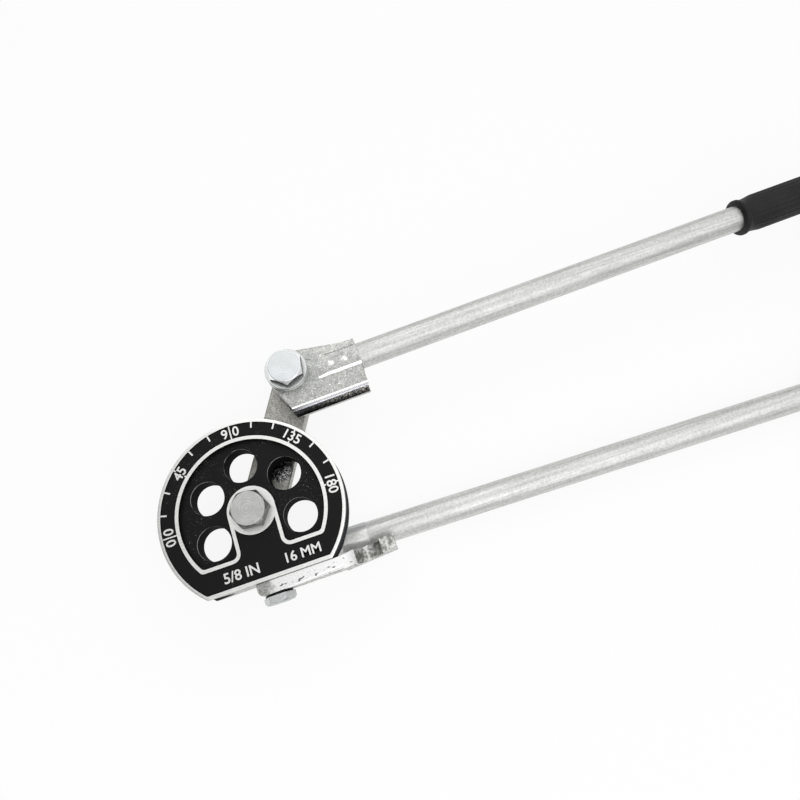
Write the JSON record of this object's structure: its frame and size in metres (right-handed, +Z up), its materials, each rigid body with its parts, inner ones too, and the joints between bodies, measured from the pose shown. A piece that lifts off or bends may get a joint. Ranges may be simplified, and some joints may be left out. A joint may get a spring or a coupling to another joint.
{
  "type": "lever tube bender",
  "caption": "Two-handled lever bender: a shoe on the upper handle swings round a grooved wheel to bend tube up to half a turn.",
  "frame": {"origin": "centre of the axle bolt's end face, on the bench that the tool lies on", "axes": "+Z up along the wheel's axle out of the dial, +X along the dial's base line and the handles, +Y towards the dial's 90 mark"},
  "size_m": [0.5491, 0.1581, 0.0574],
  "materials": {
    "wheel": "black paint in the sunk lands, bare machined ridges, rim and groove",
    "casting": "rough cast with machined faces",
    "plated": "satin zinc plate",
    "bolt": "turned and lightly worn",
    "grip": "matt moulded sleeve"
  },
  "bodies": {
    "wheel": {"forming_wheel": "wheel", "axle_bolt": "bolt", "axle_spacer": "plated", "axle_washer": "plated", "axle_nut": "bolt", "lower_pipe": "plated", "lower_pin_inner": "bolt", "lower_pin_outer": "bolt", "lower_grip": "grip", "hook_washer": "bolt", "hook_bolt": "bolt"},
    "hook": {"tube_hook": "casting"},
    "link": {"link_plate": "casting", "pivot_bolt": "bolt", "pivot_front_washer": "plated", "pivot_spacer": "plated", "pivot_back_washer": "plated", "pivot_nut": "bolt"},
    "lever": {"shoe_head": "casting", "upper_pipe": "plated", "upper_pin_inner": "bolt", "upper_pin_outer": "bolt", "upper_grip": "grip"}
  },
  "joints": [
    {"name": "link_swing", "type": "hinge", "parent": "wheel", "child": "link", "pos_m": [0, 0, 0], "axis": [0, 0, 1], "range_deg": [-27.3, 138.7]},
    {"name": "handle_swing", "type": "hinge", "parent": "link", "child": "lever", "pos_m": [0.04497, 0.07727, 0], "axis": [0, 0, 1], "range_deg": [-54.6, 120]},
    {"name": "hook_swing", "type": "hinge", "parent": "wheel", "child": "hook", "pos_m": [0.001, -0.046, 0.0354], "axis": [0, -1, 0], "range_deg": [0, 180]}
  ]
}
